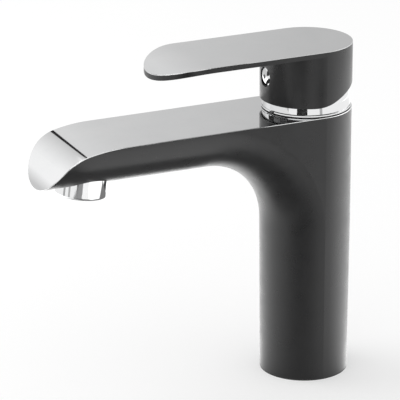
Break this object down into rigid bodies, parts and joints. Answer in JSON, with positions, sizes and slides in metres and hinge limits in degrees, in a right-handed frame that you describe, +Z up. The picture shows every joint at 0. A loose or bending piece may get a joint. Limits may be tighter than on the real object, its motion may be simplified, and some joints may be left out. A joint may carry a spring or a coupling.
{
  "type": "bathroom mixer faucet",
  "caption": "Single-lever basin mixer: tapered column, half-round spout with polished top and bent nose, flat paddle lever that lifts and swivels, aerator below the nose.",
  "frame": {"origin": "centre of the open base, on the deck", "axes": "+Z up the column, spout towards -Y, +X to the right of a person who faces the spout's back"},
  "size_m": [0.048, 0.1761, 0.1805],
  "materials": {
    "black_paint": "satin black paint over brass and zinc castings",
    "chrome": "polished",
    "brass": "turned",
    "steel": "turned",
    "rubber": "matte",
    "white_plastic": "matte",
    "dark_plastic": "matte",
    "ceramic": "lapped ceramic"
  },
  "bodies": {
    "body": {"body_casting": "black_paint", "spout_cover": "chrome", "dome_cap": "chrome", "aerator_housing": "chrome", "cap_seal": "rubber", "base_gasket": "rubber", "port_seals": "rubber", "housing_seal": "rubber", "aerator_washer": "rubber", "aerator_insert": "white_plastic", "aerator_screen": "steel", "cartridge_base": "white_plastic", "cartridge_housing": "white_plastic", "fixed_disc": "ceramic", "retaining_nut": "brass"},
    "swivel": {"swivel_carrier": "dark_plastic", "pivot_pin": "steel"},
    "lever": {"lever_handle": "black_paint", "lever_plate": "chrome", "spindle": "steel", "grub_screw": "steel", "index_plug": "chrome", "index_dot": "dark_plastic"},
    "disc": {"disc_carrier": "dark_plastic", "moving_disc": "ceramic"}
  },
  "joints": [
    {"name": "lever_swivel", "type": "hinge", "parent": "body", "child": "swivel", "pos_m": [0, 0, 0.1515], "axis": [0, 0, 1], "range_deg": [-50, 50]},
    {"name": "lever_lift", "type": "hinge", "parent": "swivel", "child": "lever", "pos_m": [0, 0, 0.1515], "axis": [-1, 0, 0], "range_deg": [0, 22]},
    {"name": "disc_slide", "type": "slide", "parent": "swivel", "child": "disc", "axis": [0, -1, 0], "range_m": [0, 0.005]}
  ],
  "couplings": [
    {"joint": "disc_slide", "follows": "lever_lift", "m_per_rad": 0.01292}
  ]
}
